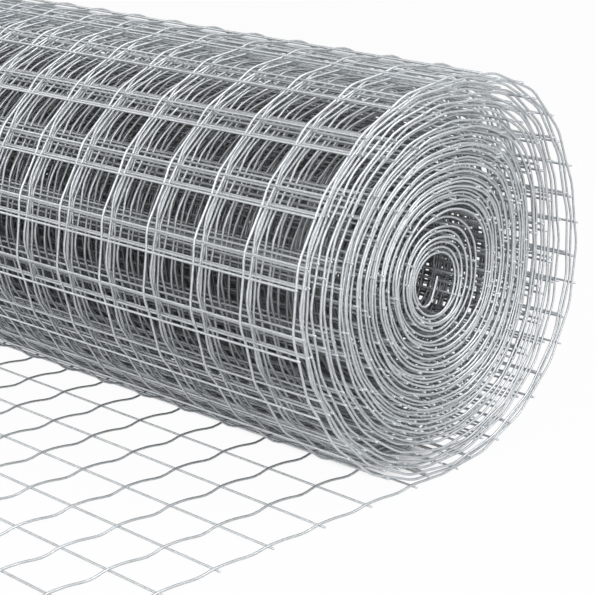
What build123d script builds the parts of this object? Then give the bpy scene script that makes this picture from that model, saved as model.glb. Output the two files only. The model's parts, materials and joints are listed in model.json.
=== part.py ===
from build123d import *
from math import sqrt
import os

# A roll of welded square-mesh fencing, lying on the floor with its loose end unrolled in front.
# Millimetres, +Z up. The roll's axis runs along X and the loose end runs towards -Y.
# The origin is on the floor, at the middle of the ground that the whole thing covers.

# Mesh
cell_size = 50.0  # from wire to wire, both ways
wire_diameter = 1.6
weld_sink = 0.25  # how deep two wires are pressed into each other at a weld
wire_tip = 4.0  # what a wire stands out past the outermost crossing
crimp_depth = 2.4  # how far a line wire sags between two crossings
crest_length = 6.0  # level stretch of a line wire on each crossing
belly_length = 16.0  # level stretch of a line wire where it sags lowest
cells_across = 18

# Roll
roll_diameter = 304.0
bore_diameter = 40.0
turns = 41

# Loose end
loose_cells = 10
axis_to_last_wire = 28.0  # from below the roll's axis on to the last cross wire under the roll
seat_gap = 0.2  # between the roll's underside and the wires that it rests on

# Mesh sheet, worked out: it lies on whatever is lowest, the bellies of its line wires or its cross wires
mesh_width = cells_across * cell_size
cross_wire_length = mesh_width + 2 * wire_tip
wire_radius = wire_diameter / 2
crest_underside = max(crimp_depth, wire_diameter - weld_sink)
cross_wire_height = crest_underside + weld_sink - wire_radius
sheet_top = crest_underside + wire_diameter

# Places, worked out
roll_radius = roll_diameter / 2
bore_radius = bore_diameter / 2
loose_length = loose_cells * cell_size
axis_to_free_tip = loose_length - axis_to_last_wire + wire_tip
roll_axis_y = (axis_to_free_tip - roll_radius) / 2
crest_offset = max(min(axis_to_last_wire, cell_size - axis_to_last_wire) - crest_length / 2, 0)
seat_dip = min(roll_radius - sqrt(roll_radius**2 - crest_offset**2), crimp_depth)
roll_axis_z = sheet_top - seat_dip + seat_gap + roll_radius
last_wire_y = roll_axis_y + axis_to_last_wire
cross_wire_places = [last_wire_y - cell * cell_size for cell in range(loose_cells + 1)]
line_wire_places = [cell * cell_size - mesh_width / 2 for cell in range(cells_across + 1)]

os.makedirs("parts", exist_ok=True)


def end_ridges(end):
    """Points over one end of the roll, from the bore outwards: a crest on each turn, a groove between."""
    pitch = (roll_radius - bore_radius) / turns
    crest = mesh_width / 2 + wire_radius
    groove = crest - wire_diameter
    points = []
    for turn in range(turns):
        inner = bore_radius + turn * pitch
        points.append((end * groove, inner))
        points.append((end * crest, inner + pitch / 2))
    points.append((end * groove, roll_radius))
    return points


def line_wire_top():
    """Points along the top of a line wire: level on each crossing, sagging to a level belly after it.

    The belly after the last crossing lies behind the roll's axis, so the roll is carried on both sides of it."""
    half_crest = crest_length / 2
    half_belly = belly_length / 2
    belly_top = sheet_top - crimp_depth
    points = [(cross_wire_places[-1] - wire_tip, sheet_top)]
    for start in reversed(cross_wire_places):
        middle = start + cell_size / 2
        points.append((start + half_crest, sheet_top))
        points.append((middle - half_belly, belly_top))
        points.append((middle + half_belly, belly_top))
        points.append((start + cell_size - half_crest, sheet_top))
    return points[:-1]


# The wound mesh: one turned solid with its bore, each turn a ridge on both ends
roll_plane = Plane(origin=(0, roll_axis_y, roll_axis_z), x_dir=(1, 0, 0), z_dir=(0, -1, 0))
with BuildPart() as mesh_roll:
    with BuildSketch(roll_plane):
        with BuildLine():
            Polyline(*end_ridges(-1), *reversed(end_ridges(1)), close=True)
        make_face()
    revolve(axis=Axis((0, roll_axis_y, roll_axis_z), (1, 0, 0)))
mesh_roll.part.label = "mesh_roll"
export_step(mesh_roll.part, "parts/mesh_roll.step")

# The loose end: crimped line wires welded on top of straight cross wires, flat on the floor
top_edge = line_wire_top()
bottom_edge = [(along, height - wire_diameter) for along, height in reversed(top_edge)]
with BuildPart() as loose_end:
    for place in line_wire_places:
        with BuildSketch(Plane.YZ.offset(place - wire_radius)):
            with BuildLine():
                Polyline(*top_edge, *bottom_edge, close=True)
            make_face()
    extrude(amount=wire_diameter)
    with BuildSketch(Plane.YZ.offset(-cross_wire_length / 2)):
        with Locations(*[(place, cross_wire_height) for place in cross_wire_places]):
            RegularPolygon(radius=wire_radius, side_count=6, major_radius=False)
    extrude(amount=cross_wire_length)
loose_end.part.label = "loose_end"
export_step(loose_end.part, "parts/loose_end.step")
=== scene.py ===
import json
import math
from collections import namedtuple

import bpy
import numpy as np
from bpy.props import FloatProperty, FloatVectorProperty, IntProperty, PointerProperty
from mathutils import Matrix, Vector


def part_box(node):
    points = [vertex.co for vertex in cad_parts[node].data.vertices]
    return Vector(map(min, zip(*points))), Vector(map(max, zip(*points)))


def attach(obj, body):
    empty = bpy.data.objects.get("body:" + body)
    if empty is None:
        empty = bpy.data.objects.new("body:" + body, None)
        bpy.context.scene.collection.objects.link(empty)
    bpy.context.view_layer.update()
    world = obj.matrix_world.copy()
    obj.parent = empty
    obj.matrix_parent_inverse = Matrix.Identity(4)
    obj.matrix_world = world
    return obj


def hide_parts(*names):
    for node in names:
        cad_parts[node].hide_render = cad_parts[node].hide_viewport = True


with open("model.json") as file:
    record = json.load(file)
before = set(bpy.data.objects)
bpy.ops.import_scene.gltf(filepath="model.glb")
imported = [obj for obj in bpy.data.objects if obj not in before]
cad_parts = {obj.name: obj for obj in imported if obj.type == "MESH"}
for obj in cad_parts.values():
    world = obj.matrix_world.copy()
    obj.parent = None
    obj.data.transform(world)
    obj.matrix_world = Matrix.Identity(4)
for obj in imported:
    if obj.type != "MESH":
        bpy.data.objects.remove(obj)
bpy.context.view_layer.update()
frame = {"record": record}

bl_info = {
    "name": "Wire Fencing Roll",
    "version": (1, 0, 0),
    "blender": (4, 5, 0),
    "location": "View3D > Sidebar > Fencing",
    "description": "Winds a roll of welded square-mesh fencing, wire by wire, round its packed solids",
    "category": "Add Mesh",
}

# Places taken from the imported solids: the flat loose end, and the bore that the mesh is wound round.
NODES = ("mesh_roll", "loose_end")
FREE_TIP_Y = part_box("loose_end")[0].y
BORE = next(mount for mount in frame["record"]["mounts"] if mount["name"] == "unrolling_bore")
AXIS_Y, AXIS_Z = BORE["pos_m"][1:]
BORE_RADIUS = BORE["dims"]["r_mm"] / 1000
ROLL_LOW, ROLL_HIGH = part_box("mesh_roll")
ROLL_RADIUS = (ROLL_HIGH.z - ROLL_LOW.z) / 2
BELOW = -math.pi / 2  # straight down from the axis, where the mesh leaves the floor
BORE_TO_WIRE = 0.0012  # from the bore's wall to the middle of the innermost line wire

# Bulges of the outermost turn: the size in metres, the angle in degrees up from level at the back, and
# the sharpness of the lobe.
Bulge = namedtuple("Bulge", "size angle sharpness")
NEAR_BULGES = (
    Bulge(0.028, -18, 2.3),
    Bulge(0.014, 46, 8.0),
    Bulge(0.007, 173, 8.0),
)
FAR_BULGES = (
    Bulge(0.031, 44, 2.0),
    Bulge(0.007, 173, 8.0),
)

# Loose gaps in the roll: how many turns would fit in, the turn that they are at, counted from the bore, or
# from the outside where it is negative, the turns over which they open, and the side that they swell on.
Gap = namedtuple("Gap", "turns middle spread angle sharpness")
GAPS = (
    Gap(12.0, -2.5, 2.8, -5, 4.5),
    Gap(2.0, -1.25, 0.35, 185, 3.0),
    Gap(5.0, -7.2, 1.3, 165, 1.5),
    Gap(2.0, -9.0, 5.0, 0, 0.0),
    Gap(6.6, 6.5, 1.2, 15, 1.2),
    Gap(2.5, 2.5, 2.0, 95, 1.0),
)

# How the turns bunch up: the swing in turns, its swings per turn, its waves round the roll, its start in
# radians and the side that it is strongest on.
Bunch = namedtuple("Bunch", "swing rate waves start angle sharpness")
BUNCHES = (
    Bunch(0.45, 0.20, 1, 1.73, 180, 1.0),
    Bunch(0.12, 0.44, 1, 2.0, 180, 1.0),
    Bunch(0.10, 0.23, 2, 1.9, 0, 0.0),
    Bunch(0.07, 0.41, 3, 4.0, 0, 0.0),
)
FAR_END_START = 1.3  # by how much the bunching starts later at the roll's far end, in radians

# How the turns stray sideways: each wave's share of the stray, its rate and its start in radians.
Stray = namedtuple("Stray", "share rate start")
STRAYS = (
    Stray(0.7, 1.0, 0.0),
    Stray(0.3, 3.1, 1.0),
)

# Crimp and cut tips
CRIMP_FADE_SHARE = 0.5  # share of the roll's radius, in from its outside, over which the crimp fades
TIP_SEED = 7  # start of the random draws for the cut tips

# How finely the mesh is drawn. A tube is straight from ring to ring, and rings are shares of a cell or a
# count per cell.
PATH_STEPS_PER_TURN = 360
CELL_STEPS = 360
FLOOR_RUN_STEPS = 200
TONGUE_STEPS = 60
TUBE_SIDES = 6
OUTER_TURNS = 6.2  # turns that get the outer rings and the weld beads
INNER_TURNS = 10.0  # turns next to the bore that get the inner rings
FLOOR_RINGS = (0.0, 0.14, 0.28, 0.42, 0.54, 0.66, 0.78, 0.89)
OUTER_RINGS = (0.0, 0.54, 0.66, 0.78)
MIDDLE_RINGS = 6
INNER_RINGS = 10
BEAD_SIDES = 6
BEAD_LATITUDES = (-42.0, 0.0, 42.0)  # degrees
LINE_WIRE_PIECES = (
    ("line_wires_far_edge", 0, 4),
    ("line_wires_far", 4, 8),
    ("line_wires_middle", 8, 12),
    ("line_wires_near", 12, 16),
    ("line_wires_near_edge", 16, 19),
)

# Pattern of the zinc
CLOUDS_PER_METRE = 38.0
CLOUD_DETAIL = 3.0
CLOUD_SHARE = 0.55  # of the clouds in the mix of clouds and crystals
STREAK_STRETCH = (90.0, 9.0, 1.0)  # streaks per metre of wire, and per turn round it
STREAK_DETAIL = 2.0
WIRE_STREAKS = 0.25
WIRE_RELIEF = 0.00008  # metres
WELD_RELIEF = 0.00012
WELD_CRYSTALS = 2  # crystals on a weld for each one on a wire
TONE_RANGE = (0.35, 0.95)  # of the pattern, from fully dull to fully bright
ROUGHNESS_RANGE = (0.52, 0.42)  # from dull to bright
ZINC_METALLIC = 0.9
BUMP_STRENGTH = 0.08

# Strip of floor that the roll shades, in metres: its middle behind the roll's axis, and how far from there
# the shade is full and where it ends, across the roll and along it.
UNDER_ROLL_SHIFT = 0.015
UNDER_ROLL_WIDTH = (0.02, 0.045)
UNDER_ROLL_LENGTH = (0.38, 0.44)

# Studio, in metres. A lamp is named for its power setting.
Lamp = namedtuple("Lamp", "name size place")
LAMPS = (
    Lamp("top", 1.8, (1.3, 0.4, 1.9)),
    Lamp("front", 1.6, (0.9, -1.65, 1.55)),
    Lamp("side", 1.4, (2.3, -1.1, 0.55)),
    Lamp("far", 1.2, (-1.2, -0.9, 1.3)),
)
LAMP_TARGET = (0.2, AXIS_Y, AXIS_Z)
FLOOR_GREY = 0.6  # of the floor as the lamps light it
BACKDROP_FALL = (0.15, 0.6)  # sines of the angles above level between which the backdrop darkens
SENSOR_WIDTH = 36.0  # millimetres
CLIP_RANGE = (0.05, 50.0)


class SheetSettings(bpy.types.PropertyGroup):
    """The mesh as it comes off the welding line, before it is wound."""

    cell: FloatProperty(
        name="Cell", description="From wire to wire, both ways", default=0.05, unit="LENGTH")
    wire: FloatProperty(
        name="Wire", description="Thickness of every wire, without its coat", default=0.0016, unit="LENGTH")
    coat: FloatProperty(
        name="Zinc coat", description="Thickness of the zinc on the wire", default=0.00008, unit="LENGTH")
    sink: FloatProperty(
        name="Weld sink", description="How deep two wires are pressed into each other at a weld",
        default=0.00025, unit="LENGTH")
    crimp: FloatProperty(
        name="Crimp", description="How far a line wire bulges outwards between two crossings",
        default=0.0025, unit="LENGTH")
    crimp_edge: FloatProperty(
        name="Crimp edge", description="Share of the crimp that the mesh's two edge wires have",
        default=0.65, subtype="FACTOR")
    crimp_inside: FloatProperty(
        name="Crimp inside", description="Share of the crimp that is left in the tight inner turns",
        default=0.45, subtype="FACTOR")
    crimp_peak: FloatProperty(
        name="Crimp peak",
        description="Where between two crossings the bulge is highest, as a share of the cell",
        default=0.66, subtype="FACTOR")
    tip: FloatProperty(
        name="Tip", description="What a wire of the loose end stands out past the outermost crossing",
        default=0.004, unit="LENGTH")
    roll_tip: FloatProperty(
        name="Roll tip", description="What a cross wire of the roll stands out past the edge wire",
        default=0.0025, unit="LENGTH")
    tip_spread: FloatProperty(
        name="Tip spread", description="How unevenly the tips were cut", default=0.0008, unit="LENGTH")
    cut_length: FloatProperty(
        name="Cut length", description="How far back a cut tip is pinched", default=0.0004, unit="LENGTH")
    cut_share: FloatProperty(
        name="Cut share", description="Share of the wire's thickness at a cut tip",
        default=0.8, subtype="FACTOR")
    bead_reach_share: FloatProperty(
        name="Bead reach", description="Half width of a weld bead, in wire thicknesses", default=0.66)
    bead_depth_share: FloatProperty(
        name="Bead depth", description="Half depth of a weld bead, in wire thicknesses", default=0.6)
    cells_across: IntProperty(
        name="Cells across", description="Cells from one edge of the mesh to the other", default=18)


class RollSettings(bpy.types.PropertyGroup):
    """How the mesh lies in the roll."""

    turns: FloatProperty(
        name="Turns", description="From where the mesh leaves the floor to its inner end", default=41.875)
    bore: FloatProperty(
        name="Bore", description="Radius of the innermost turn",
        default=BORE_RADIUS + BORE_TO_WIRE, unit="LENGTH")
    tongue_bend: FloatProperty(
        name="Tongue bend", description="Radius at which the inner end turns into the bore",
        default=0.0075, unit="LENGTH")
    tongue_turn: FloatProperty(
        name="Tongue turn", description="How far round the inner end turns",
        default=math.radians(115), subtype="ANGLE")
    tongue_run: FloatProperty(
        name="Tongue run", description="Straight length of the inner end", default=0.0165, unit="LENGTH")
    stray: FloatProperty(
        name="Stray", description="How far the turns stray sideways along the axis",
        default=0.002, unit="LENGTH")
    stray_turns: FloatProperty(
        name="Stray turns", description="Turns from one stray to the next", default=5.3)
    sidestep: FloatProperty(
        name="Sidestep",
        description="How far every other turn lies to the side, so that it nests in the last",
        default=0.0009, unit="LENGTH")
    sidestep_sharpness: FloatProperty(
        name="Sidestep sharpness", description="How quickly a turn steps over to the other side", default=4.0)


class FinishSettings(bpy.types.PropertyGroup):
    """Zinc coat of the wires, with a painted shade that darkens it deep inside the roll."""

    bright: FloatVectorProperty(
        name="Bright zinc", description="Colour of the clean coat", default=(0.77, 0.80, 0.82),
        subtype="COLOR", min=0, max=1)
    dull: FloatVectorProperty(
        name="Dull zinc", description="Colour of the greyed coat", default=(0.54, 0.565, 0.585),
        subtype="COLOR", min=0, max=1)
    weld: FloatVectorProperty(
        name="Weld", description="Colour of the coat over a weld", default=(0.69, 0.715, 0.735),
        subtype="COLOR", min=0, max=1)
    # Painted shade: the colour that the coat is darkened to deep inside the roll, in place of the shade
    # between the inner turns.
    painted_shade_colour: FloatVectorProperty(
        name="Sheltered zinc", description="Colour of the dull coat deep inside the roll",
        default=(0.28, 0.289, 0.296), subtype="COLOR", min=0, max=1)
    # Depth in from the barrel and the ends at which the painted shade is full.
    painted_shade_depth: FloatProperty(
        name="Shelter depth", description="How far in from the barrel and the ends the coat is fully dull",
        default=0.055, unit="LENGTH")
    spangle: FloatProperty(
        name="Spangle", description="Size of the zinc crystals", default=0.0022, unit="LENGTH")


class StageSettings(bpy.types.PropertyGroup):
    """Floor, lamps and camera."""

    floor: FloatProperty(
        name="Floor", description="Side of the floor", default=12.0, unit="LENGTH")
    floor_glow: FloatProperty(
        name="Floor glow", description="Share of the floor's white that shadow can't take away",
        default=0.97, subtype="FACTOR")
    floor_reflected: FloatProperty(
        name="Floor reflected", description="Share of the floor's glow that shows in reflections",
        default=0.4, subtype="FACTOR")
    backdrop: FloatProperty(
        name="Backdrop light", description="Strength of the light from all round", default=0.32)
    backdrop_reflected: FloatProperty(
        name="Backdrop reflected", description="Share of the backdrop's white that shows in reflections",
        default=0.7, subtype="FACTOR")
    zenith_share: FloatProperty(
        name="Zenith share", description="Share of the backdrop's white that is left overhead",
        default=0.35, subtype="FACTOR")
    top: FloatProperty(
        name="Top lamp", description="Power of the large lamp over the roll's near end",
        default=37.0, unit="POWER")
    front: FloatProperty(
        name="Front lamp", description="Power of the lamp in front of the roll",
        default=26.0, unit="POWER")
    side: FloatProperty(
        name="Side lamp", description="Power of the lamp beside the roll's near end",
        default=13.0, unit="POWER")
    far: FloatProperty(
        name="Far lamp", description="Power of the lamp over the roll's far end",
        default=10.0, unit="POWER")
    camera_angle: FloatProperty(
        name="Camera angle", description="Round from straight in front of the loose end",
        default=math.radians(44.31), subtype="ANGLE")
    camera_height: FloatProperty(
        name="Camera height angle", description="Up from level",
        default=math.radians(16.261), subtype="ANGLE")
    lens: FloatProperty(
        name="Lens", description="Focal length in millimetres on a 36 mm sensor", default=102.33)
    camera_place: FloatVectorProperty(
        name="Camera place", description="Where the camera stands", default=(1.2042, -0.7554, 0.4888),
        subtype="TRANSLATION", unit="LENGTH")


def smooth_step(x):
    """A step from 0 to 1 about x = 0: one half of one plus the hyperbolic tangent of x."""
    return 0.5 * (1 + np.tanh(x))


def lobe(angle, middle, sharpness):
    """A bump once round: e to the sharpness times (cosine of the angle from its middle, less one)."""
    return np.exp(sharpness * (np.cos(angle - middle) - 1))


def lifted(height, floor, ease):
    """The larger of height and floor, with a parabola where they are within ease of each other."""
    above = height - floor
    eased = (above + ease) ** 2 / (4 * ease)
    return floor + np.where(above > ease, above, np.where(above < -ease, 0.0, eased))


def sag(sheet, cells):
    """A line wire's bulge along the mesh, from 0 on each crossing to 1 at the crimp's peak: a cosine wave
    per cell, which is made lopsided by raising the share of the cell to the power that takes the peak's
    share to one half."""
    power = math.log(0.5) / math.log(sheet.crimp_peak)
    return 0.5 - 0.5 * np.cos(2 * math.pi * np.mod(cells, 1) ** power)


def tube_radius(sheet):
    """Radius of a wire over its zinc."""
    return sheet.wire / 2 + sheet.coat


def sheet_floor(sheet):
    """Height of a crossing's line wire where the mesh lies flat, the bulges on the floor."""
    return sheet.crimp + tube_radius(sheet)


def outline(sheet, bulges, angle):
    """Radius of the outermost turn: a circle with the bulges added, of a size that meets the floor below."""

    def bulge_sum(at):
        return sum(row.size * lobe(at, math.radians(row.angle), row.sharpness) for row in bulges)

    return AXIS_Z - sheet_floor(sheet) - bulge_sum(BELOW) + bulge_sum(angle)


def turn_share(roll, left, angle, start):
    """How far out a turn lies, from 0 at the bore to 1 outside.

    It is the number of turns left inside it, plus the loose gaps as smooth steps that swell on one
    side of the roll, plus a few sine waves that bunch the turns, all over its outermost value."""

    def reach(turns_left):
        total = turns_left
        for row in GAPS:
            middle = row.middle if row.middle > 0 else roll.turns + row.middle
            opening = row.turns * lobe(angle, math.radians(row.angle), row.sharpness)
            total = total + opening * smooth_step((turns_left - middle) / row.spread)
        for row in BUNCHES:
            swing = row.swing * lobe(angle, math.radians(row.angle), row.sharpness)
            wave = 2 * math.pi * row.rate * turns_left + row.waves * angle + row.start + start
            total = total + swing * np.sin(wave)
        return total

    inside = reach(np.zeros_like(left))
    return (reach(left) - inside) / (reach(np.full_like(left, roll.turns)) - inside)


def mesh_path(sheet, roll, bulges, start):
    """The line through the mesh's crossings, from its free tip to its inner end, as (Y, Z) rows.

    A level run along the floor to below the axis, then a spiral: its angle grows steadily, and its
    radius goes from the outline to the bore by turn_share. Last, the heading turns at a steady bend
    and the inner end runs straight into the bore."""
    floor = sheet_floor(sheet)
    run = np.linspace(FREE_TIP_Y, AXIS_Y, FLOOR_RUN_STEPS, endpoint=False)
    floor_run = np.stack([run, np.full_like(run, floor)], axis=1)

    wound = np.linspace(0, roll.turns, int(roll.turns * PATH_STEPS_PER_TURN))
    angle = 2 * math.pi * wound + BELOW
    share = turn_share(roll, roll.turns - wound, angle, start)
    radius = roll.bore + (outline(sheet, bulges, angle) - roll.bore) * share
    height = lifted(AXIS_Z + radius * np.sin(angle), floor, sheet.wire / 2)
    spiral = np.stack([AXIS_Y + radius * np.cos(angle), height], axis=1)

    last = spiral[-1] - spiral[-2]
    length = roll.tongue_bend * roll.tongue_turn + roll.tongue_run
    along = np.linspace(0, length, TONGUE_STEPS)
    heading = math.atan2(last[1], last[0]) + np.minimum(along / roll.tongue_bend, roll.tongue_turn)
    step = np.diff(along, prepend=0)[:, None]
    tongue = spiral[-1] + np.cumsum(step * np.stack([np.cos(heading), np.sin(heading)], axis=1), axis=0)
    return np.concatenate([floor_run, spiral, tongue[1:]])


class Winding:
    """The mesh as wound: where a point of the flat sheet, so many cells along and so far across, comes to
    lie."""

    def __init__(self, sheet, roll):
        """Measures the mesh at the near end, along the middle of its bulges. The far end shares that
        measure, so every cross wire stays straight."""
        self.sheet = sheet
        self.roll = roll
        self.half = sheet.cells_across * sheet.cell / 2
        self.near = mesh_path(sheet, roll, NEAR_BULGES, 0.0)
        self.far = mesh_path(sheet, roll, FAR_BULGES, FAR_END_START)
        slope = np.gradient(self.near, axis=0)
        self.slope = slope / np.hypot(*slope.T)[:, None]
        outwards = np.stack([self.slope[:, 1], -self.slope[:, 0]], axis=1)
        one_cell = np.linspace(0, 1, CELL_STEPS, endpoint=False)
        mean_bulge = sheet.crimp * sag(sheet, one_cell).mean()
        steps = np.hypot(*np.diff(self.near + mean_bulge * outwards, axis=0).T)
        self.along = (np.concatenate([[0], np.cumsum(steps)]) - sheet.tip) / sheet.cell
        self.length = self.along[-1]
        radius = np.hypot(self.near[:, 0] - AXIS_Y, self.near[:, 1] - AXIS_Z)
        self.tightness = 1 - np.clip(radius / ROLL_RADIUS, 0, 1)
        wound = np.linspace(0, roll.turns, len(self.near) - FLOOR_RUN_STEPS)
        self.turn_of = np.concatenate([np.zeros(FLOOR_RUN_STEPS), wound])

    def read(self, values, cells):
        """The path's own values at so many cells along, by straight lines between its points."""
        columns = [np.interp(cells, self.along, column) for column in values.T]
        return np.stack(columns, axis=-1)

    def out_of(self, cells):
        """Unit vectors out of the roll, square to the mesh: the way along it, turned a quarter to the
        right."""
        slope = self.read(self.slope, cells)
        return np.stack([np.zeros_like(cells), slope[..., 1], -slope[..., 0]], axis=-1)

    def ahead(self, cells):
        """Unit vectors along the mesh, towards its inner end."""
        slope = self.read(self.slope, cells)
        return np.stack([np.zeros_like(cells), slope[..., 0], slope[..., 1]], axis=-1)

    def turn_at(self, cells):
        """Turns wound before that place, 0 on the floor."""
        return np.interp(cells, self.along, self.turn_of)

    def cells_at(self, turn):
        """Whole cells from the free end to that turn."""
        return math.floor(np.interp(turn, self.turn_of[FLOOR_RUN_STEPS:], self.along[FLOOR_RUN_STEPS:]))

    def bulge_at(self, cells):
        """How far a line wire stands out: the sag times the crimp, which fades inwards as the turns tighten,
        from all of it at the outside to the inside share."""
        sheet = self.sheet
        faded = np.minimum(np.interp(cells, self.along, self.tightness) / CRIMP_FADE_SHARE, 1)
        return sheet.crimp * (1 + (sheet.crimp_inside - 1) * faded) * sag(sheet, cells)

    def place(self, cells, across):
        """Points on the surface of crossings: straight across from the far end's path to the near end's.

        Sideways a turn strays by two slow sine waves, and every other turn steps aside by a sharpened sine.
        Both grow from nothing on the floor to their full size over the first turn."""
        share = ((across + self.half) / (2 * self.half))[..., None]
        flat = (1 - share) * self.read(self.far, cells) + share * self.read(self.near, cells)
        turn = self.turn_at(cells)
        wave = 2 * math.pi * turn / self.roll.stray_turns
        slow = self.roll.stray * sum(row.share * np.sin(row.rate * wave + row.start) for row in STRAYS)
        quick = self.roll.sidestep * np.tanh(self.roll.sidestep_sharpness * np.sin(math.pi * turn))
        aside = np.minimum(turn, 1) * (slow + quick)
        return np.concatenate([(across + aside)[..., None], flat], axis=-1)


def tube_grid(centres, first, second, radius):
    """Round tubes: at each ring, the centre plus radius times (cosine of a turn times the first side
    vector plus its sine times the second). The ring is a little larger than the wire, so that its flats
    lie as far inside the wire's skin as its corners lie outside, and a flat faces the first side.
    centres are rows of wires by rings; returns the points and the tubes' faces, with both ends closed."""
    wires, rings = centres.shape[:2]
    half_side = math.pi / TUBE_SIDES
    turn = half_side + np.linspace(0, 2 * math.pi, TUBE_SIDES, endpoint=False)
    around = np.cos(turn)[:, None] * first[..., None, :] + np.sin(turn)[:, None] * second[..., None, :]
    ring = radius * 2 / (1 + math.cos(half_side))
    points = centres[..., None, :] + ring[..., None, None] * around
    index = np.arange(wires * rings * TUBE_SIDES).reshape(wires, rings, TUBE_SIDES)
    right = np.roll(index, -1, axis=2)
    quads = np.stack([index[:, :-1], index[:, 1:], right[:, 1:], right[:, :-1]], axis=-1).reshape(-1, 4)
    caps = np.concatenate([index[:, 0], index[:, -1, ::-1]])
    return points.reshape(-1, 3), quads, caps


def wire_uv(lengths, wires):
    """Corner coordinates of the tubes' faces: metres along the wire, and share of a turn round it."""
    shape = (len(lengths) - 1, TUBE_SIDES)
    side = np.arange(TUBE_SIDES)
    low = np.broadcast_to(lengths[:-1, None], shape)
    high = np.broadcast_to(lengths[1:, None], shape)
    left = np.broadcast_to(side / TUBE_SIDES, shape)
    right = np.broadcast_to((side + 1) / TUBE_SIDES, shape)
    u = np.stack([low, high, high, low], axis=-1)
    v = np.stack([left, left, right, right], axis=-1)
    one = np.stack([u, v], axis=-1).reshape(-1, 2)
    quads = np.tile(one, (wires, 1))
    caps = np.zeros((2 * wires * TUBE_SIDES, 2))
    return np.concatenate([quads, caps])


def bead_grid(centres, ahead, out, reach, depth):
    """Ellipsoids: the unit sphere's points by latitude and longitude on a coarse grid, with closed poles,
    stretched to the reach along and across the mesh and to the depth through it. Sideways is the way along
    crossed with the way out, so the three are right-handed and the faces point outwards."""
    longitude = np.linspace(0, 2 * math.pi, BEAD_SIDES, endpoint=False)
    lat, lon = np.meshgrid(np.radians(BEAD_LATITUDES), longitude, indexing="ij")
    rings = np.stack([np.cos(lat) * np.cos(lon), np.cos(lat) * np.sin(lon), np.sin(lat)], axis=-1)
    unit = np.concatenate([[[0, 0, -1]], rings.reshape(-1, 3), [[0, 0, 1]]])
    sideways = np.array([-1.0, 0.0, 0.0])
    x, y, z = unit.T[..., None]
    points = centres + reach * (x * sideways + y * ahead) + depth * z * out
    each = len(unit)
    ring = 1 + np.arange(lat.size).reshape(lat.shape)
    right = np.roll(ring, -1, axis=1)
    quads = np.stack([ring[:-1], right[:-1], right[1:], ring[1:]], axis=-1).reshape(-1, 4)
    low = np.stack([np.zeros(BEAD_SIDES, int), right[0], ring[0]], axis=-1)
    high = np.stack([np.full(BEAD_SIDES, each - 1), ring[-1], right[-1]], axis=-1)
    base = (np.arange(len(centres)) * each)[:, None, None]
    triangles = (np.concatenate([low, high])[None] + base).reshape(-1, 3)
    quads = (quads[None] + base).reshape(-1, 4)
    return points.reshape(-1, 3), triangles, quads


def new_piece(name, points, faces, material, corner_uv=None):
    """A smooth-shaded mesh object at the origin from whole arrays; faces is a list of arrays, one per
    corner count."""
    mesh = bpy.data.meshes.new(name)
    mesh.vertices.add(len(points))
    mesh.vertices.foreach_set("co", points.astype(np.float32).ravel())
    corners = np.concatenate([group.ravel() for group in faces]).astype(np.int32)
    counts = np.concatenate([np.full(len(group), group.shape[1]) for group in faces])
    mesh.loops.add(len(corners))
    mesh.loops.foreach_set("vertex_index", corners)
    mesh.polygons.add(len(counts))
    mesh.polygons.foreach_set("loop_start", np.concatenate([[0], np.cumsum(counts)[:-1]]).astype(np.int32))
    mesh.update(calc_edges=True)
    mesh.shade_smooth()
    if corner_uv is not None:
        layer = mesh.uv_layers.new(name="wire")
        layer.data.foreach_set("uv", corner_uv.astype(np.float32).ravel())
    if mesh.validate():
        raise RuntimeError(f"{name} had faces that don't hold together")
    mesh.materials.append(material)
    piece = bpy.data.objects.new(name, mesh)
    bpy.context.scene.collection.objects.link(piece)
    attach(piece, "root")
    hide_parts(*NODES)
    return piece


def empty_tree(owner):
    """The node tree of a new material or world, with its ready-made nodes taken out."""
    owner.use_nodes = True
    owner.node_tree.nodes.clear()
    return owner.node_tree


def node_at(tree, kind, x, y, **values):
    """A new node at that place in the tree, with its own properties set."""
    made = tree.nodes.new(kind)
    made.location = (x, y)
    for key, value in values.items():
        setattr(made, key, value)
    return made


def in_use(sockets, name):
    """The socket of that name that the node's data type uses; a mix node has one for each type."""
    return next(socket for socket in sockets if socket.name == name and socket.enabled)


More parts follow.
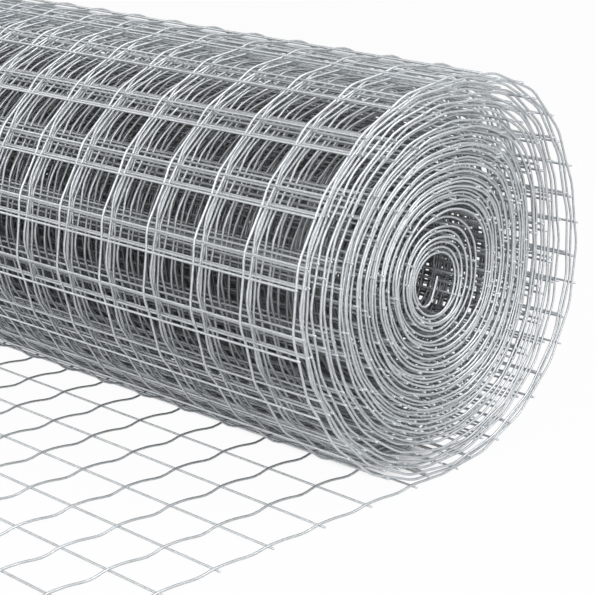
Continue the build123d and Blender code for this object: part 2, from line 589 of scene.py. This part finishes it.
def painted_shade_group():
    """Shader node group of the painted shade's mask: 0 on the roll's barrel and ends and 1 at the given depth
    inside, the lesser of the roll's radius less the distance from its axis, and its end less the distance
    from its middle, eased over that depth. The darkening stands in for the shade between the turns."""
    group = bpy.data.node_groups.new("roll_shelter", "ShaderNodeTree")
    socket = group.interface.new_socket
    socket("Shelter depth", in_out="INPUT", socket_type="NodeSocketFloat")
    socket("Sheltered", in_out="OUTPUT", socket_type="NodeSocketFloat")
    link = group.links.new
    given = node_at(group, "NodeGroupInput", 200, -200)
    put = node_at(group, "NodeGroupOutput", 800, 0)
    place = node_at(group, "ShaderNodeTexCoord", -600, 0)
    section = node_at(group, "ShaderNodeVectorMath", -400, 100, operation="MULTIPLY")
    section.inputs[1].default_value = (0.0, 1.0, 1.0)
    link(place.outputs["Object"], section.inputs[0])
    radius = node_at(group, "ShaderNodeVectorMath", -200, 100, operation="DISTANCE")
    radius.inputs[1].default_value = (0.0, AXIS_Y, AXIS_Z)
    link(section.outputs["Vector"], radius.inputs[0])
    under_barrel = node_at(group, "ShaderNodeMath", 0, 100, operation="SUBTRACT")
    under_barrel.inputs[0].default_value = ROLL_RADIUS
    link(radius.outputs["Value"], under_barrel.inputs[1])
    split = node_at(group, "ShaderNodeSeparateXYZ", -400, -100)
    link(place.outputs["Object"], split.inputs["Vector"])
    off_middle = node_at(group, "ShaderNodeMath", -200, -100, operation="ABSOLUTE")
    link(split.outputs["X"], off_middle.inputs[0])
    under_end = node_at(group, "ShaderNodeMath", 0, -100, operation="SUBTRACT")
    under_end.inputs[0].default_value = ROLL_HIGH.x
    link(off_middle.outputs["Value"], under_end.inputs[1])
    depth = node_at(group, "ShaderNodeMath", 200, 0, operation="MINIMUM")
    link(under_barrel.outputs["Value"], depth.inputs[0])
    link(under_end.outputs["Value"], depth.inputs[1])
    eased = node_at(group, "ShaderNodeMapRange", 500, 0, interpolation_type="SMOOTHSTEP")
    link(depth.outputs["Value"], eased.inputs["Value"])
    link(given.outputs["Shelter depth"], eased.inputs["From Max"])
    link(eased.outputs["Result"], put.inputs["Sheltered"])
    return group


def zinc_group():
    """Shader node group of a zinc coat: crystals and clouds mix the bright and the dull colour, streaks run
    along the wire, and painted shade darkens the coat deep inside the roll."""
    found = bpy.data.node_groups.get("zinc_coat")
    if found:
        return found
    group = bpy.data.node_groups.new("zinc_coat", "ShaderNodeTree")
    socket = group.interface.new_socket
    for name in ("Bright", "Dull", "Sheltered"):
        socket(name, in_out="INPUT", socket_type="NodeSocketColor")
    for name in ("Shelter depth", "Crystals per metre", "Streaks"):
        socket(name, in_out="INPUT", socket_type="NodeSocketFloat")
    socket("Colour", in_out="OUTPUT", socket_type="NodeSocketColor")
    for name in ("Roughness", "Height"):
        socket(name, in_out="OUTPUT", socket_type="NodeSocketFloat")
    link = group.links.new
    given = node_at(group, "NodeGroupInput", -900, 0)
    put = node_at(group, "NodeGroupOutput", 700, 0)

    # Crystals and clouds
    place = node_at(group, "ShaderNodeTexCoord", -900, 300)
    crystals = node_at(group, "ShaderNodeTexVoronoi", -600, 300)
    link(place.outputs["Object"], crystals.inputs["Vector"])
    link(given.outputs["Crystals per metre"], crystals.inputs["Scale"])
    tone = node_at(group, "ShaderNodeRGBToBW", -400, 300)
    link(crystals.outputs["Color"], tone.inputs["Color"])
    clouds = node_at(group, "ShaderNodeTexNoise", -600, 50)
    clouds.inputs["Scale"].default_value = CLOUDS_PER_METRE
    clouds.inputs["Detail"].default_value = CLOUD_DETAIL
    link(place.outputs["Object"], clouds.inputs["Vector"])

    # Streaks along the wire
    wire = node_at(group, "ShaderNodeUVMap", -900, -250, uv_map="wire")
    stretch = node_at(group, "ShaderNodeMapping", -750, -250)
    stretch.inputs["Scale"].default_value = STREAK_STRETCH
    link(wire.outputs["UV"], stretch.inputs["Vector"])
    streaks = node_at(group, "ShaderNodeTexNoise", -600, -250)
    streaks.inputs["Scale"].default_value = 1.0
    streaks.inputs["Detail"].default_value = STREAK_DETAIL
    link(stretch.outputs["Vector"], streaks.inputs["Vector"])
    drawn = node_at(group, "ShaderNodeMath", -400, -250, operation="MULTIPLY")
    link(streaks.outputs["Fac"], drawn.inputs[0])
    link(given.outputs["Streaks"], drawn.inputs[1])

    # Pattern of all three, and the colour that it gives
    mixed = node_at(group, "ShaderNodeMix", -200, 200, data_type="FLOAT")
    mixed.inputs["Factor"].default_value = CLOUD_SHARE
    link(tone.outputs["Val"], in_use(mixed.inputs, "A"))
    link(clouds.outputs["Fac"], in_use(mixed.inputs, "B"))
    total = node_at(group, "ShaderNodeMath", 0, 100, operation="ADD")
    link(in_use(mixed.outputs, "Result"), total.inputs[0])
    link(drawn.outputs["Value"], total.inputs[1])
    spread = node_at(group, "ShaderNodeMapRange", 180, 100)
    spread.inputs["From Min"].default_value = TONE_RANGE[0]
    spread.inputs["From Max"].default_value = TONE_RANGE[1]
    link(total.outputs["Value"], spread.inputs["Value"])
    colour = node_at(group, "ShaderNodeMix", 400, 200, data_type="RGBA")
    link(spread.outputs["Result"], in_use(colour.inputs, "Factor"))
    link(given.outputs["Dull"], in_use(colour.inputs, "A"))
    link(given.outputs["Bright"], in_use(colour.inputs, "B"))
    # Painted shade: deep inside the roll the colour is mixed towards a dark one, in place of the shade
    # between the turns.
    painted_shade_mask = node_at(group, "ShaderNodeGroup", 400, 400, node_tree=painted_shade_group())
    link(given.outputs["Shelter depth"], painted_shade_mask.inputs["Shelter depth"])
    dimmed = node_at(group, "ShaderNodeMix", 600, 300, data_type="RGBA")
    link(painted_shade_mask.outputs["Sheltered"], in_use(dimmed.inputs, "Factor"))
    link(in_use(colour.outputs, "Result"), in_use(dimmed.inputs, "A"))
    link(given.outputs["Sheltered"], in_use(dimmed.inputs, "B"))
    link(in_use(dimmed.outputs, "Result"), put.inputs["Colour"])

    # Roughness and height
    polish = node_at(group, "ShaderNodeMapRange", 400, -50)
    polish.inputs["To Min"].default_value = ROUGHNESS_RANGE[0]
    polish.inputs["To Max"].default_value = ROUGHNESS_RANGE[1]
    link(spread.outputs["Result"], polish.inputs["Value"])
    link(polish.outputs["Result"], put.inputs["Roughness"])
    link(total.outputs["Value"], put.inputs["Height"])
    return group


def zinc_material(name, finish, bright, crystals, streaks, relief):
    """Galvanised steel: the zinc group drives colour, roughness and a shallow bump."""
    found = bpy.data.materials.get(name)
    if found:
        return found
    material = bpy.data.materials.new(name)
    tree = empty_tree(material)
    out = node_at(tree, "ShaderNodeOutputMaterial", 500, 0)
    shader = node_at(tree, "ShaderNodeBsdfPrincipled", 200, 0)
    coat = node_at(tree, "ShaderNodeGroup", -300, 0, node_tree=zinc_group())
    bump = node_at(tree, "ShaderNodeBump", 0, -250)
    coat.inputs["Bright"].default_value = (*bright, 1)
    coat.inputs["Dull"].default_value = (*finish.dull, 1)
    # Colour and depth of the painted shade inside the roll.
    coat.inputs["Sheltered"].default_value = (*finish.painted_shade_colour, 1)
    coat.inputs["Shelter depth"].default_value = finish.painted_shade_depth
    coat.inputs["Crystals per metre"].default_value = crystals
    coat.inputs["Streaks"].default_value = streaks
    shader.inputs["Metallic"].default_value = ZINC_METALLIC
    bump.inputs["Strength"].default_value = BUMP_STRENGTH
    bump.inputs["Distance"].default_value = relief
    link = tree.links.new
    link(coat.outputs["Colour"], shader.inputs["Base Color"])
    link(coat.outputs["Roughness"], shader.inputs["Roughness"])
    link(coat.outputs["Height"], bump.inputs["Height"])
    link(bump.outputs["Normal"], shader.inputs["Normal"])
    link(shader.outputs["BSDF"], out.inputs["Surface"])
    return material


def wire_material(finish):
    """The drawn, galvanised wire."""
    return zinc_material(
        "zinc_wire", finish, finish.bright,
        crystals=1 / finish.spangle, streaks=WIRE_STREAKS, relief=WIRE_RELIEF)


def weld_material(finish):
    """The coat over a weld, without the streaks of the drawn wire."""
    return zinc_material(
        "zinc_weld", finish, finish.weld,
        crystals=WELD_CRYSTALS / finish.spangle, streaks=0.0, relief=WELD_RELIEF)


def clear_of_roll(tree, x, y, glow):
    """The floor's glow, which dies out in the narrow strip that the roll stands over, as an output socket:
    the distance across the roll and the distance along it each fade the shade out."""
    place = node_at(tree, "ShaderNodeTexCoord", x, y)
    aside = node_at(tree, "ShaderNodeVectorMath", x + 200, y, operation="SUBTRACT")
    aside.inputs[1].default_value = (0.0, AXIS_Y + UNDER_ROLL_SHIFT, 0.0)
    apart = node_at(tree, "ShaderNodeVectorMath", x + 400, y, operation="ABSOLUTE")
    split = node_at(tree, "ShaderNodeSeparateXYZ", x + 600, y)
    tree.links.new(place.outputs["Object"], aside.inputs[0])
    tree.links.new(aside.outputs["Vector"], apart.inputs[0])
    tree.links.new(apart.outputs["Vector"], split.inputs["Vector"])
    shade = node_at(tree, "ShaderNodeMath", x + 1000, y, operation="MULTIPLY")
    for index, (way, (full, none)) in enumerate((("X", UNDER_ROLL_LENGTH), ("Y", UNDER_ROLL_WIDTH))):
        fade = node_at(tree, "ShaderNodeMapRange", x + 800, y - 300 * index, interpolation_type="SMOOTHSTEP")
        fade.inputs["From Min"].default_value = full
        fade.inputs["From Max"].default_value = none
        fade.inputs["To Min"].default_value = 1.0
        fade.inputs["To Max"].default_value = 0.0
        tree.links.new(split.outputs[way], fade.inputs["Value"])
        tree.links.new(fade.outputs["Result"], shade.inputs[index])
    left = node_at(tree, "ShaderNodeMapRange", x + 1200, y)
    left.inputs["To Min"].default_value = glow
    left.inputs["To Max"].default_value = 0.0
    tree.links.new(shade.outputs["Value"], left.inputs["Value"])
    return left.outputs["Result"]


def floor_material(glow, reflected):
    """White floor: a share of its white glows for the camera, less of it for reflections and none under the
    roll, and the rest is lit, so a shadow shows."""
    material = bpy.data.materials.new("studio_floor")
    tree = empty_tree(material)
    link = tree.links.new
    out = node_at(tree, "ShaderNodeOutputMaterial", 700, 0)
    lit = node_at(tree, "ShaderNodeBsdfDiffuse", 100, 150)
    lit.inputs["Color"].default_value = (FLOOR_GREY, FLOOR_GREY, FLOOR_GREY, 1)
    white = node_at(tree, "ShaderNodeEmission", 100, -50)
    white.inputs["Strength"].default_value = 1.0
    share = node_at(tree, "ShaderNodeMath", 100, -250, operation="MULTIPLY")
    link(seen_share(tree, -700, 0, reflected), share.inputs[0])
    link(clear_of_roll(tree, -1300, -400, glow), share.inputs[1])
    mixed = node_at(tree, "ShaderNodeMixShader", 400, 0)
    link(share.outputs["Value"], mixed.inputs["Fac"])
    link(lit.outputs["BSDF"], mixed.inputs[1])
    link(white.outputs["Emission"], mixed.inputs[2])
    link(mixed.outputs["Shader"], out.inputs["Surface"])
    return material


def seen_share(tree, x, y, reflected):
    """1 for camera rays, the reflected share for glossy and transmission rays and 0 for the rest, as an
    output socket."""
    path = node_at(tree, "ShaderNodeLightPath", x, y)
    bounced = node_at(tree, "ShaderNodeMath", x + 200, y, operation="MAXIMUM")
    dimmed = node_at(tree, "ShaderNodeMath", x + 400, y, operation="MULTIPLY")
    either = node_at(tree, "ShaderNodeMath", x + 600, y, operation="MAXIMUM")
    dimmed.inputs[1].default_value = reflected
    tree.links.new(path.outputs["Is Glossy Ray"], bounced.inputs[0])
    tree.links.new(path.outputs["Is Transmission Ray"], bounced.inputs[1])
    tree.links.new(bounced.outputs["Value"], dimmed.inputs[0])
    tree.links.new(path.outputs["Is Camera Ray"], either.inputs[0])
    tree.links.new(dimmed.outputs["Value"], either.inputs[1])
    return either.outputs["Value"]


def studio_world(strength, reflected, zenith_share):
    """White at the horizon where it is seen, a little less in reflections, a plain soft light of that
    strength for the rest, and darker overhead, like a white backdrop in a studio."""
    world = bpy.data.worlds.new("studio")
    tree = empty_tree(world)
    link = tree.links.new
    out = node_at(tree, "ShaderNodeOutputWorld", 800, 0)
    sky = node_at(tree, "ShaderNodeBackground", 600, 0)
    sky.inputs["Color"].default_value = (1, 1, 1, 1)
    level = node_at(tree, "ShaderNodeMapRange", 200, 0)
    level.inputs["To Min"].default_value = strength
    level.inputs["To Max"].default_value = 1.0
    link(seen_share(tree, -700, 0, reflected), level.inputs["Value"])
    way = node_at(tree, "ShaderNodeTexCoord", -200, -300)
    split = node_at(tree, "ShaderNodeSeparateXYZ", 0, -300)
    link(way.outputs["Generated"], split.inputs["Vector"])
    fall = node_at(tree, "ShaderNodeMapRange", 200, -300)
    fall.inputs["From Min"].default_value = BACKDROP_FALL[0]
    fall.inputs["From Max"].default_value = BACKDROP_FALL[1]
    fall.inputs["To Min"].default_value = 1.0
    fall.inputs["To Max"].default_value = zenith_share
    link(split.outputs["Z"], fall.inputs["Value"])
    total = node_at(tree, "ShaderNodeMath", 400, 0, operation="MULTIPLY")
    link(level.outputs["Result"], total.inputs[0])
    link(fall.outputs["Result"], total.inputs[1])
    link(total.outputs["Value"], sky.inputs["Strength"])
    link(sky.outputs["Background"], out.inputs["Surface"])
    return world


def area_lamp(name, power, size, place, target):
    """A square area lamp at that place, facing the target."""
    lamp = bpy.data.lights.new(name, "AREA")
    lamp.energy = power
    lamp.size = size
    holder = bpy.data.objects.new(name, lamp)
    holder.location = place
    holder.rotation_euler = (Vector(target) - Vector(place)).to_track_quat("-Z", "Y").to_euler()
    bpy.context.scene.collection.objects.link(holder)
    return holder


class FENCING_OT_line_wires(bpy.types.Operator):
    """Line wires: round tubes along the whole mesh, bulging outwards between the crossings"""

    bl_idname = "fencing.line_wires"
    bl_label = "Line wires"

    def execute(self, context):
        scene = context.scene
        sheet, roll = scene.fencing_sheet, scene.fencing_roll
        winding = Winding(sheet, roll)
        floor_to = winding.cells_at(0)
        outer_to = winding.cells_at(OUTER_TURNS)
        inner_from = winding.cells_at(roll.turns - INNER_TURNS)
        cells = np.concatenate([
            [-sheet.tip / sheet.cell],
            (np.arange(floor_to)[:, None] + FLOOR_RINGS).ravel(),
            (np.arange(floor_to, outer_to)[:, None] + OUTER_RINGS).ravel(),
            np.arange(outer_to, inner_from, 1 / MIDDLE_RINGS),
            np.arange(inner_from, winding.length, 1 / INNER_RINGS),
            [winding.length],
        ])
        out = winding.out_of(cells)
        bulge = winding.bulge_at(cells)[:, None] * out
        radius = np.full(len(cells), tube_radius(sheet))
        radius[[0, -1]] *= sheet.cut_share
        material = wire_material(scene.fencing_finish)
        for name, first, last in LINE_WIRE_PIECES:
            wires = np.arange(first, last)
            at_edge = (wires == 0) | (wires == sheet.cells_across)
            crimped = np.where(at_edge, sheet.crimp_edge, 1.0)[:, None, None]
            across = wires * sheet.cell - winding.half
            shape = (len(across), len(cells))
            centres = winding.place(np.broadcast_to(cells, shape), np.broadcast_to(across[:, None], shape))
            sideways = np.broadcast_to([1.0, 0.0, 0.0], (*shape, 3))
            points, quads, caps = tube_grid(
                centres + crimped * bulge, np.broadcast_to(out, (*shape, 3)), sideways,
                np.broadcast_to(radius, shape))
            new_piece(name, points, [quads, caps], material, wire_uv(cells * sheet.cell, len(across)))
        return {"FINISHED"}


class FENCING_OT_cross_wires(bpy.types.Operator):
    """Cross wires: straight round tubes along the roll, welded to the outside of the line wires"""

    bl_idname = "fencing.cross_wires"
    bl_label = "Cross wires"

    def execute(self, context):
        scene = context.scene
        sheet, roll = scene.fencing_sheet, scene.fencing_roll
        winding = Winding(sheet, roll)
        cells = np.arange(0, math.floor(winding.length) + 1, dtype=float)
        random = np.random.default_rng(TIP_SEED)
        tips = np.where(winding.turn_at(cells) > 0, sheet.roll_tip, sheet.tip)
        tips = tips + sheet.tip_spread * random.uniform(-1, 1, (2, len(cells)))
        ends = np.stack([
            -winding.half - tips[0],
            -winding.half - tips[0] + sheet.cut_length,
            winding.half + tips[1] - sheet.cut_length,
            winding.half + tips[1],
        ], axis=1)
        shape = ends.shape
        along = np.broadcast_to(cells[:, None], shape)
        out = winding.out_of(along)
        centres = winding.place(along, ends) + (sheet.wire - sheet.sink) * out
        pinch = np.array([sheet.cut_share, 1, 1, sheet.cut_share])
        points, quads, caps = tube_grid(
            centres, winding.ahead(along), out, np.broadcast_to(tube_radius(sheet) * pinch, shape))
        uv = wire_uv(ends[0] + winding.half, len(cells))
        new_piece("cross_wires", points, [quads, caps], wire_material(scene.fencing_finish), uv)
        return {"FINISHED"}


class FENCING_OT_weld_beads(bpy.types.Operator):
    """Weld beads: low ellipsoids between the two wires of a crossing, on the loose end and the outer turns"""

    bl_idname = "fencing.weld_beads"
    bl_label = "Weld beads"

    def execute(self, context):
        scene = context.scene
        sheet, roll = scene.fencing_sheet, scene.fencing_roll
        winding = Winding(sheet, roll)
        cells, across = np.meshgrid(
            np.arange(0, winding.cells_at(OUTER_TURNS) + 1, dtype=float),
            np.arange(sheet.cells_across + 1) * sheet.cell - winding.half,
            indexing="ij")
        out, ahead = winding.out_of(cells), winding.ahead(cells)
        centres = winding.place(cells, across) + (sheet.wire - sheet.sink) / 2 * out
        points, triangles, quads = bead_grid(
            centres.reshape(-1, 1, 3), ahead.reshape(-1, 1, 3), out.reshape(-1, 1, 3),
            sheet.bead_reach_share * sheet.wire, sheet.bead_depth_share * sheet.wire)
        new_piece("weld_beads", points, [triangles, quads], weld_material(scene.fencing_finish))
        return {"FINISHED"}


class FENCING_OT_stage(bpy.types.Operator):
    """Stage: white floor, soft studio light and the camera"""

    bl_idname = "fencing.stage"
    bl_label = "Stage"

    def execute(self, context):
        scene = context.scene
        stage = scene.fencing_stage
        half = stage.floor / 2
        mesh = bpy.data.meshes.new("studio_floor")
        corners = [(-half, -half, 0), (half, -half, 0), (half, half, 0), (-half, half, 0)]
        mesh.from_pydata(corners, [], [(0, 1, 2, 3)])
        mesh.materials.append(floor_material(stage.floor_glow, stage.floor_reflected))
        floor = bpy.data.objects.new("studio_floor", mesh)
        scene.collection.objects.link(floor)
        scene.world = studio_world(stage.backdrop, stage.backdrop_reflected, stage.zenith_share)
        for lamp in LAMPS:
            area_lamp(f"{lamp.name}_lamp", getattr(stage, lamp.name), lamp.size, lamp.place, LAMP_TARGET)
        lens = bpy.data.cameras.new("camera")
        lens.lens = stage.lens
        lens.sensor_width = SENSOR_WIDTH
        lens.clip_start, lens.clip_end = CLIP_RANGE
        camera = bpy.data.objects.new("camera", lens)
        around, up = stage.camera_angle, stage.camera_height
        back = Vector((math.sin(around) * math.cos(up), -math.cos(around) * math.cos(up), math.sin(up)))
        turn = (-back).to_track_quat("-Z", "Y").to_matrix().to_4x4()
        camera.matrix_world = Matrix.Translation(stage.camera_place) @ turn
        scene.collection.objects.link(camera)
        scene.camera = camera
        scene.view_settings.view_transform = "Standard"
        return {"FINISHED"}


OPERATORS = (
    FENCING_OT_line_wires,
    FENCING_OT_cross_wires,
    FENCING_OT_weld_beads,
    FENCING_OT_stage,
)


class FENCING_PT_panel(bpy.types.Panel):
    """Lists the pieces of the roll and the stage"""

    bl_idname = "FENCING_PT_panel"
    bl_label = "Wire fencing roll"
    bl_space_type = "VIEW_3D"
    bl_region_type = "UI"
    bl_category = "Fencing"

    def draw(self, context):
        for operator in OPERATORS:
            self.layout.operator(operator.bl_idname)


SETTINGS = {
    "fencing_sheet": SheetSettings,
    "fencing_roll": RollSettings,
    "fencing_finish": FinishSettings,
    "fencing_stage": StageSettings,
}


def register():
    for group in SETTINGS.values():
        bpy.utils.register_class(group)
    for name, group in SETTINGS.items():
        setattr(bpy.types.Scene, name, PointerProperty(type=group))
    for operator in OPERATORS:
        bpy.utils.register_class(operator)
    bpy.utils.register_class(FENCING_PT_panel)


def unregister():
    bpy.utils.unregister_class(FENCING_PT_panel)
    for operator in reversed(OPERATORS):
        bpy.utils.unregister_class(operator)
    for name in SETTINGS:
        delattr(bpy.types.Scene, name)
    for group in reversed(list(SETTINGS.values())):
        bpy.utils.unregister_class(group)


def main():
    """Makes every piece and the stage."""
    register()
    bpy.ops.fencing.line_wires()
    bpy.ops.fencing.cross_wires()
    bpy.ops.fencing.weld_beads()
    bpy.ops.fencing.stage()


if __name__ == "__main__":
    main()
